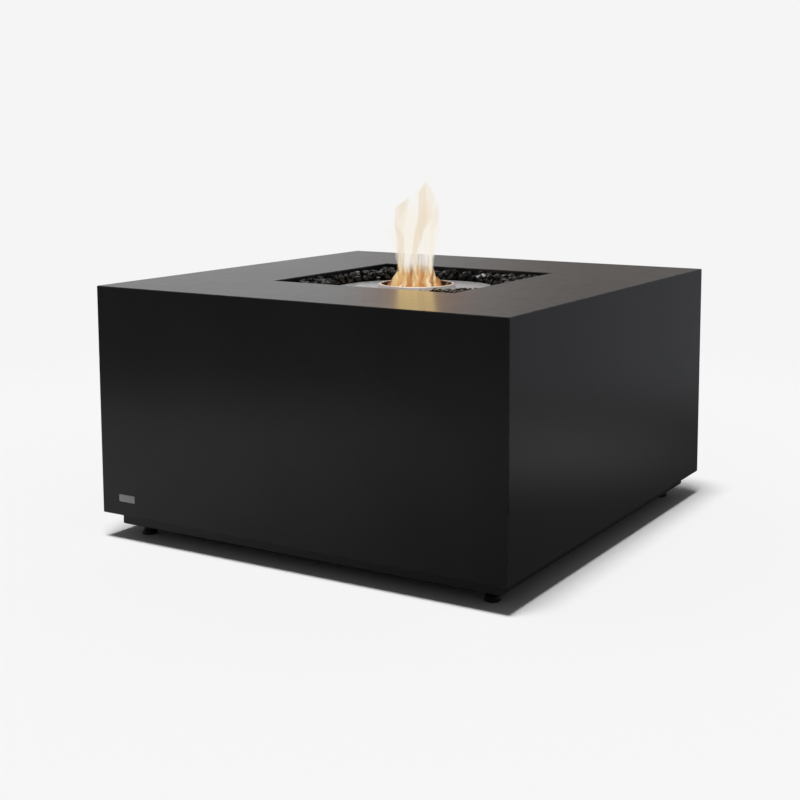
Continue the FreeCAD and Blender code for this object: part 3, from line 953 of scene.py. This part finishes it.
def insert_nut(corner, spot, zinc):
    """Flanged nut with a knurled barrel, pressed into its foot plate."""

    def knurled(angle, radius, height):
        grip = abs(radius - FOOT_NUT_RADIUS) < NEAR and height > FOOT_NUT_SEAT + FOOT_NUT_PLAIN_BAND / 2
        return radius - KNURL_DEPTH * abs(math.sin(angle * KNURLS / 2)) if grip else radius

    outline = rounded([
        (FOOT_NUT_BORE, FOOT_NUT_LOW, FOOT_NUT_ROUNDING),
        (FOOT_NUT_FLANGE_RADIUS, FOOT_NUT_LOW, FOOT_NUT_ROUNDING),
        (FOOT_NUT_FLANGE_RADIUS, FOOT_NUT_SEAT, 0.0),
        (FOOT_NUT_RADIUS, FOOT_NUT_SEAT, 0.0),
        (FOOT_NUT_RADIUS, FOOT_NUT_SEAT + FOOT_NUT_PLAIN_BAND, 0.0),
        (FOOT_NUT_RADIUS, FOOT_NUT_HIGH - FOOT_NUT_PLAIN_BAND, 0.0),
        (FOOT_NUT_RADIUS - FOOT_NUT_TAPER, FOOT_NUT_HIGH, 0.0),
        (FOOT_NUT_BORE, FOOT_NUT_HIGH, FOOT_NUT_ROUNDING),
    ], steps=3)
    nut = turned(outline, KNURLS * 4, spot, knurled)
    piece("insert_nut_" + corner, nut, zinc, "table", ["foot_nut_" + corner])


def hexagon_bolts(name, node, spots, size, seat, tip, zinc):
    """Hexagon-head bolts, heads down, with threaded shanks."""
    parts = []
    for spot in spots:
        parts.append(hexagon_head(size["across"], seat, seat - size["head"], spot, BOLT_WASHER_FACE))
        parts.append(threaded(size["radius"], size["pitch"], seat, tip, spot))
    piece(name, merged(parts), zinc, "table", [node])


def fasteners(zinc):
    """The bolts of the plinth, two to a side, and the screws of the tray, one to a corner."""
    near, far = PLINTH_BOLT_SPOT
    spots = []
    for side in (-1, 1):
        for end in (-1, 1):
            spots += [(side * near, end * far), (end * far, side * near)]
    seat = plinth_bolts_low.z + PLINTH_BOLT["head"]
    hexagon_bolts("plinth_bolt_set", "plinth_bolts", spots, PLINTH_BOLT, seat, plinth_bolts_high.z, zinc)
    out = tray_screws_high.x - TRAY_SCREW["across"] / 2 / math.cos(math.pi / 6)
    spots = [(side * out, end * out) for side, end in CORNERS.values()]
    seat = tray_screws_low.z + TRAY_SCREW["head"]
    hexagon_bolts("tray_screw_set", "tray_screws", spots, TRAY_SCREW, seat, tray_screws_high.z, zinc)


def badge(steel):
    """Small bare plate with softened edges, let into the front face."""
    made = bmesh.new()
    bmesh.ops.create_cube(made, size=1.0)
    size = badge_high - badge_low
    bmesh.ops.scale(made, vec=size, verts=made.verts)
    bmesh.ops.translate(made, vec=(badge_high + badge_low) / 2, verts=made.verts)
    upright = [edge for edge in made.edges if abs(edge.verts[0].co.y - edge.verts[1].co.y) > size.y / 2]
    bmesh.ops.bevel(made, geom=upright, offset=BADGE_CORNER, segments=5, profile=0.5, affect="EDGES")
    front = [
        edge for edge in made.edges
        if all(abs(vert.co.y - badge_low.y) < NEAR for vert in edge.verts)
    ]
    bmesh.ops.bevel(made, geom=front, offset=BADGE_EDGE, segments=3, profile=0.5, affect="EDGES")
    points, faces = taken(made)
    # Sorted, as the bevels list some faces in no fixed order
    piece("bare_badge", (points, sorted(faces)), steel, "table", ["badge_plate"])


def struck_lump(draw):
    """Corners, faces and break planes of one convex lump, struck from a block, about 2 across."""
    made = bmesh.new()
    bmesh.ops.create_cube(made, size=2.0)
    stretch = Vector((1.0, draw.uniform(*LUMP_WIDTH), draw.uniform(*LUMP_THICKNESS)))
    bmesh.ops.scale(made, vec=stretch, verts=made.verts)
    for _ in range(LUMP_BREAKS):
        normal = Vector([draw.gauss(0.0, 1.0) for _ in range(3)]).normalized()
        reach = Vector([normal[i] * stretch[i] for i in range(3)]).length * draw.uniform(*LUMP_BREAK_DEPTH)
        everything = made.verts[:] + made.edges[:] + made.faces[:]
        cut = bmesh.ops.bisect_plane(
            made, geom=everything, plane_co=normal * reach, plane_no=normal, clear_outer=True
        )
        rim = [edge for edge in cut["geom_cut"] if isinstance(edge, bmesh.types.BMEdge)]
        if rim:
            bmesh.ops.edgeloop_fill(made, edges=rim)
    bmesh.ops.recalc_face_normals(made, faces=made.faces)
    made.normal_update()
    planes = np.array([list(face.normal) + [face.normal.dot(face.verts[0].co)] for face in made.faces])
    bmesh.ops.bevel(made, geom=made.edges[:], offset=LUMP_EDGE, segments=1, profile=0.5, affect="EDGES")
    points, faces = taken(made)
    return np.array(points), faces, planes


def lying_turn(draw, planes):
    """Turn that lays a lump on one of its breaks, a little tilted, at any bearing."""
    lowest = planes[draw.randrange(len(planes))][:3]
    lay = Vector(lowest).rotation_difference(Vector((0.0, 0.0, -1.0)))
    hinge = Vector((draw.gauss(0, 1), draw.gauss(0, 1), 0.01)).normalized()
    tilt = Quaternion(hinge, math.radians(draw.uniform(0, LUMP_TILT)))
    spin = Quaternion((0.0, 0.0, 1.0), draw.uniform(0, 2 * math.pi))
    return np.array((spin @ tilt @ lay).to_matrix())


def lump_hollows(planes, size, turn):
    """Underside and upper side of a turned lump over a small grid of cells, and where it covers them."""
    normals = planes[:, :3] @ turn.T
    reaches = planes[:, 3] * size
    count = int(math.ceil(size * LUMP_REACH / HEAP_CELL))
    line = np.arange(-count, count + 1) * HEAP_CELL
    x, y = np.meshgrid(line, line, indexing="ij")
    under = np.full(x.shape, -np.inf)
    over = np.full(x.shape, np.inf)
    for (a, b, c), reach in zip(normals, reaches):
        room = reach - a * x - b * y
        if c > UPRIGHT:
            over = np.minimum(over, room / c)
        elif c < -UPRIGHT:
            under = np.maximum(under, room / c)
        else:
            over = np.where(room < 0, -np.inf, over)
    return count, under, over, over > under


def heap_limit(x, y):
    """Highest level that a lump may reach at a spot: lower at the front, and higher at the near corner."""
    from_corner = math.hypot(bed_half - x, bed_half + y)
    rise = min(1.0, HEAP_RISE_SLOPE * max(0.0, 1.0 - from_corner / HEAP_RISE_REACH))
    front = min(1.0, max(0.0, (HEAP_FRONT_LINE - y) / HEAP_FRONT_WIDTH)) * (1.0 - rise)
    return table_top - HEAP_BELOW_TOP - HEAP_FRONT_DROP * front + HEAP_NEAR_CORNER_RISE * rise


def around_cell(row, column, count):
    """The cells within count of one cell."""
    return slice(row - count, row + count + 1), slice(column - count, column + count + 1)


def glass_heap(glass):
    """Loose lumps of black glass laid one by one, each where it comes to rest lowest, in four heaps."""
    draw = random.Random(GLASS_SEED)
    shapes = [struck_lump(draw) for _ in range(LUMP_SHAPES)]
    half = bed_half - HEAP_GAP
    line = np.arange(-half - HEAP_CELL * HEAP_MARGIN, half + HEAP_CELL * HEAP_MARGIN, HEAP_CELL)
    x, y = np.meshgrid(line, line, indexing="ij")
    level = np.full(x.shape, bed_high.z)
    blocked = (np.abs(x) > half) | (np.abs(y) > half) | (np.hypot(x, y) < plate_high.x + HEAP_PLATE_GAP)
    level[blocked] = OUT_OF_REACH
    heaps = {side: [] for side in SIDES}
    far = len(line)
    corner_cells = HEAP_MARGIN + int(CORNER_REACH / HEAP_CELL)
    for number in range(LUMP_COUNT + CORNER_LUMPS):
        points, faces, planes = draw.choice(shapes)
        at_corner = number >= LUMP_COUNT
        first_row = far - corner_cells if at_corner else 0
        last_column = corner_cells if at_corner else far
        share = min(1.0, number / LUMP_COUNT)
        size = draw.uniform(LUMP_SMALL, LUMP_LARGE + (LUMP_SMALL - LUMP_LARGE) * LUMP_SHRINK * share)
        turn = lying_turn(draw, planes)
        count, under, over, covered = lump_hollows(planes, size, turn)
        crest = over[covered].max()
        best = None
        for _ in range(LUMP_TRIES):
            row = draw.randrange(max(count, first_row), far - count)
            column = draw.randrange(count, min(far - count, last_column))
            if blocked[row, column]:
                continue
            rest = (level[around_cell(row, column, count)] - under)[covered].max()
            fits = rest + crest <= heap_limit(line[row], line[column])
            if fits and (best is None or rest < best[0]):
                best = (rest, row, column)
        if best is None:
            continue
        rest, row, column = best
        patch = level[around_cell(row, column, count)]
        patch[covered] = np.maximum(patch[covered], over[covered] + rest)
        spot = np.array([line[row], line[column], rest])
        bearing = math.degrees(math.atan2(line[row], -line[column]))
        side = SIDES[int(((bearing + 45) % 360) // 90)]
        heaps[side].append((points @ turn.T * size + spot, faces))
    for side, lumps in heaps.items():
        piece("glass_heap_" + side, merged(lumps), glass, "table",
              ["glass_upper_" + side], crease=0)


# Flame, and a warm glow painted into reflections


def flame_vapour(kind):
    """Glowing volume of one kind of tongue, streaked, and broken and thinner towards its tip."""
    low_tone, high_tone, share = FLAME_KINDS[kind]
    finish = Finish("flame_" + kind)
    place = finish.place()
    rise = finish.axes(place)[2] - FLAME_FOOT
    streaks = finish.noise(finish.scaled(place, (1.0, 1.0, 0.14)), 210.0, detail=1.0)
    clouds = finish.noise(finish.scaled(place, (1.0, 1.0, 0.35)), 48.0, detail=1.0)
    licks = streaks.step(0.36, 0.58)
    thin = 1 - rise.step(*FLAME_THINS) * 0.50
    broken = 1 - rise.step(*FLAME_BREAKS) * (1 - clouds.step(0.40, 0.60)) * 0.65
    density = (licks * 0.75 + 0.25) * thin * broken * (share * FLAME_DENSITY)
    low = 1 - (rise + clouds * 0.020 + streaks * 0.030).step(*FLAME_PALES)
    colour = finish.blend(low, high_tone, low_tone)
    shade = finish.blend(low, FLAME_PEACH, FLAME_EMBER)
    colour = finish.blend((1 - licks) * (low * 0.60 + 0.15), colour, shade)
    patches = finish.noise(place, 130.0, detail=1.0).step(0.36, 0.56)
    colour = finish.blend((1 - patches) * low * 0.50, colour, FLAME_COPPER)
    mirrored, lighting = finish.rays("Glossy", "Diffuse")
    colour = finish.blend(mirrored, colour, FLAME_MIRRORED)
    glow = mirrored * (FLAME_GLOW - 1.0) + lighting * (FLAME_LIGHT - 1.0) + 1.0
    finish.material.cycles.volume_step_rate = FLAME_STEP_RATE
    return finish.vapour(density, colour, density * glow)


def over_burner(name, mesh, vapour):
    """A glowing volume that stays over the burner, casts no shadow and is no piece of the table."""
    mesh.materials.append(vapour)
    volume = added(name, mesh)
    volume.visible_shadow = False
    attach(volume, "burner")


def tongue(name, line, height, vapour):
    """One tongue of flame along its line of places, which are evenly spaced up to its height."""
    rings = []
    for row in range(FLAME_ROWS + 1):
        share = row / FLAME_ROWS
        reach = share * (len(line) - 1)
        before = min(int(reach), len(line) - 2)
        part = reach - before
        ease = part * part * (3 - 2 * part) if before else part
        across, along, width = [line[before][i] * (1 - ease) + line[before + 1][i] * ease for i in range(3)]
        across += FLAME_WOBBLE * share * math.sin(share * FLAME_WOBBLE_PHASE + line[0][0])
        width = max(width, FLAME_THINNEST)
        spread = VIEW_RIGHT * width * MM
        deep = VIEW_AWAY * min(width, FLAME_DEEPEST) * MM
        middle = (VIEW_RIGHT * across + VIEW_AWAY * along) * MM
        ring = []
        for step in range(FLAME_SIDES):
            angle = 2 * math.pi * step / FLAME_SIDES + share
            spot = middle + spread * math.cos(angle) + deep * math.sin(angle)
            ring.append((spot.x, spot.y, FLAME_FOOT + height * MM * share))
        rings.append(ring)
    points, faces = skinned(rings, "capped")
    mesh = bpy.data.meshes.new(name)
    mesh.from_pydata(points, [], faces)
    over_burner(name, mesh, vapour)


def flame():
    """The burner's flame, which is light and not a piece of the table; it stays over the burner."""
    vapours = {kind: flame_vapour(kind) for kind in FLAME_KINDS}
    for number, (kind, height, line) in enumerate(FLAME_STREAMS):
        tongue("flame_stream_%d" % number, line, height, vapours[kind])
    for number, (kind, right, away, tip, width, height) in enumerate(FLAME_LICKS):
        line = [
            (right + (tip - right) * rise, away * depth, width * girth)
            for rise, depth, girth in LICK_PROFILE
        ]
        tongue("flame_lick_%d" % number, line, height, vapours[kind])


def painted_warm_reflection():
    """A warm glow over the burner that only mirrored rays see: a painted warm reflection round the flame on
    the table top.
    """
    mesh = bpy.data.meshes.new("painted_warm_reflection")
    made = bmesh.new()
    bmesh.ops.create_uvsphere(made, u_segments=MIRRORED_GLOW_STEPS, v_segments=MIRRORED_GLOW_STEPS // 2, radius=1.0)
    bmesh.ops.scale(made, vec=(MIRRORED_GLOW_REACH, MIRRORED_GLOW_REACH, MIRRORED_GLOW_RISE), verts=made.verts)
    bmesh.ops.translate(made, vec=(0.0, 0.0, MIRRORED_GLOW_HEIGHT), verts=made.verts)
    made.to_mesh(mesh)
    made.free()
    finish = Finish("painted_warm_reflection")
    x, y = finish.axes(finish.place())[:2]
    mirrored = finish.rays("Glossy")[0]
    # Painted reflection: the glow is dense only for mirrored rays, so it tints only what the table top
    # mirrors.
    density = mirrored * (1 - length(x, y).step(MIRRORED_GLOW_CORE, MIRRORED_GLOW_REACH)) * MIRRORED_GLOW_DENSITY
    over_burner("painted_warm_reflection", mesh, finish.vapour(density, MIRRORED_GLOW_TONE, density))


# Studio


def backdrop():
    """Even pale surroundings to the eye; in reflections a lit screen at the back left of a dimmer room."""
    world = bpy.data.worlds.new("studio")
    world.use_nodes = True
    bpy.context.scene.world = world
    sky = Finish("studio", world.node_tree)
    glossy, passing, seen = sky.rays("Glossy", "Transmission", "Camera")
    mirrored = glossy.most(passing)
    direction = sky.node("TexCoord", output="Generated")
    inputs = {0: direction, 1: SCREEN_SIDE}
    toward = sky.node("VectorMath", {"operation": "DOT_PRODUCT"}, inputs, "Value")
    x, y = sky.axes(direction)[:2]
    room = (x * ROOM_SIDE_SHARE + y * ROOM_DEPTH_SHARE + ROOM_SHARE).most(ROOM_LEAST)
    shone = toward.step(SCREEN_START, SCREEN_END)
    screen = shone * (1 - room) + room
    tint = sky.blend(x.step(*ROOM_TINT), ROOM_WARM, ROOM_COOL)
    tint = sky.blend(shone.most(1 - mirrored), tint, grey(1.0))
    level = seen * BACKDROP + mirrored * screen * BACKDROP + (1 - seen.most(mirrored)) * SKY_LEVEL
    shader = sky.node("Background", inputs={"Color": tint, "Strength": level})
    sky.node("OutputWorld", inputs={"Surface": shader})


def floor():
    """Pale studio floor that fades into the backdrop."""
    mesh = bpy.data.meshes.new("floor")
    made = bmesh.new()
    bmesh.ops.create_circle(made, cap_ends=True, segments=FLOOR_STEPS, radius=FLOOR_RADIUS)
    made.to_mesh(mesh)
    made.free()
    finish = Finish("pale_floor")
    x, y = finish.axes(finish.place())[:2]
    glossy, passing = finish.rays("Glossy", "Transmission")
    mirrored = glossy.most(passing)
    fade = length(x, y).step(*FLOOR_FADE)
    mirrored_fade = length(x - FLOOR_MIRRORED_MIDDLE, y).step(*FLOOR_MIRRORED_FADE)
    fade = fade.most(mirrored * mirrored_fade)
    side = x * FLOOR_MIRRORED_SIDE.x + y * FLOOR_MIRRORED_SIDE.y
    lit = side.step(*FLOOR_MIRRORED_LIT) * (1 - FLOOR_MIRRORED_LEAST)
    patch = (1 - length(x - LIT_PATCH.x, y - LIT_PATCH.y).step(*LIT_PATCH_FADE)) * LIT_PATCH_SHARE
    lit = lit + patch + FLOOR_MIRRORED_LEAST
    tone = finish.blend(mirrored * (1 - lit), grey(FLOOR_TONE), grey(0.0))
    diffuse = finish.node("BsdfDiffuse", inputs={"Color": tone})
    clear = finish.node("BsdfTransparent")
    finish.end(finish.node("MixShader", inputs={0: fade, 1: diffuse, 2: clear}))
    mesh.materials.append(finish.material)
    added("floor", mesh)


def lamps():
    """One broad soft lamp, almost overhead and a little to the front."""
    light = bpy.data.lights.new("softbox", "SUN")
    light.energy = SUN_LEVEL
    light.angle = SUN_SPREAD
    toward = Vector((0.0, -math.sin(SUN_TILT), math.cos(SUN_TILT)))
    lamp = added("softbox", light)
    lamp.rotation_euler = toward.to_track_quat("Z", "Y").to_euler()


def camera():
    """Camera at the photograph's viewpoint, with its sideways and downward shift."""
    data = bpy.data.cameras.new("camera")
    data.sensor_width = SENSOR_WIDTH
    data.lens = FOCAL_PIXELS * SENSOR_WIDTH / IMAGE_SIDE
    data.shift_x = -(IMAGE_CENTRE[0] - IMAGE_SIDE / 2) / IMAGE_SIDE
    data.shift_y = (IMAGE_CENTRE[1] - IMAGE_SIDE / 2) / IMAGE_SIDE
    viewer = added("camera", data)
    back = Vector((
        math.sin(CAMERA_BEARING) * math.cos(CAMERA_DIP),
        -math.cos(CAMERA_BEARING) * math.cos(CAMERA_DIP),
        math.sin(CAMERA_DIP),
    ))
    viewer.location = CAMERA_PLACE
    viewer.rotation_euler = back.to_track_quat("Z", "Y").to_euler()
    bpy.context.scene.camera = viewer


bpy.context.scene.view_settings.view_transform = "Standard"

camera()
backdrop()
floor()
lamps()

spun = spun_stainless()
drawn = drawn_stainless()
brushed = brushed_stainless()
glass = black_glass()
zinc = metal("zinc_plate", (0.46, 0.46, 0.45, 1.0), (0.62, 0.62, 0.60, 1.0), 0.30, fineness=900.0)
brass = metal("cast_in_brass", (0.50, 0.34, 0.13, 1.0), (0.66, 0.48, 0.22, 1.0), 0.30, fineness=700.0)
oxide = metal("black_oxide", (0.014, 0.014, 0.016, 1.0), (0.035, 0.034, 0.036, 1.0), 0.34, fineness=1200.0)
powder = powder_coat("powder_coat", tone=0.0085, roughness=0.46)
nylon = moulded_nylon()

dress(["casing"], sealed_composite())
dress(["plinth_rail_" + side for side in SIDES] + ["foot_plate_" + corner for corner in CORNERS], powder)
dress(["burner_tray"], powder_coat("heat_proof_black", tone=0.010, roughness=0.62))
dress(["tray_gasket"], gasket_fibre())
dress(["plinth_inserts", "tray_inserts"], brass)
dress(["fuel_level_tab"], brushed)
dress(["glass_lower_" + side for side in SIDES], glass)

burner_plate(spun)
efficiency_ring(scorched_and_shaded_stainless())
drawn_cup("outer_cup", "burner_shell", shell_low, shell_high, drawn)
drawn_cup("fuel_bowl", "fuel_reservoir", bowl_low, bowl_high, drawn)
spacers(pressed_ceramic())
for corner, (side, end) in CORNERS.items():
    spot = (side * FOOT_PLACE, end * FOOT_PLACE)
    glide(corner, spot, nylon)
    threaded_stud(corner, spot, oxide)
    insert_nut(corner, spot, zinc)
fasteners(zinc)
badge(brushed)
glass_heap(glass)
flame()
painted_warm_reflection()
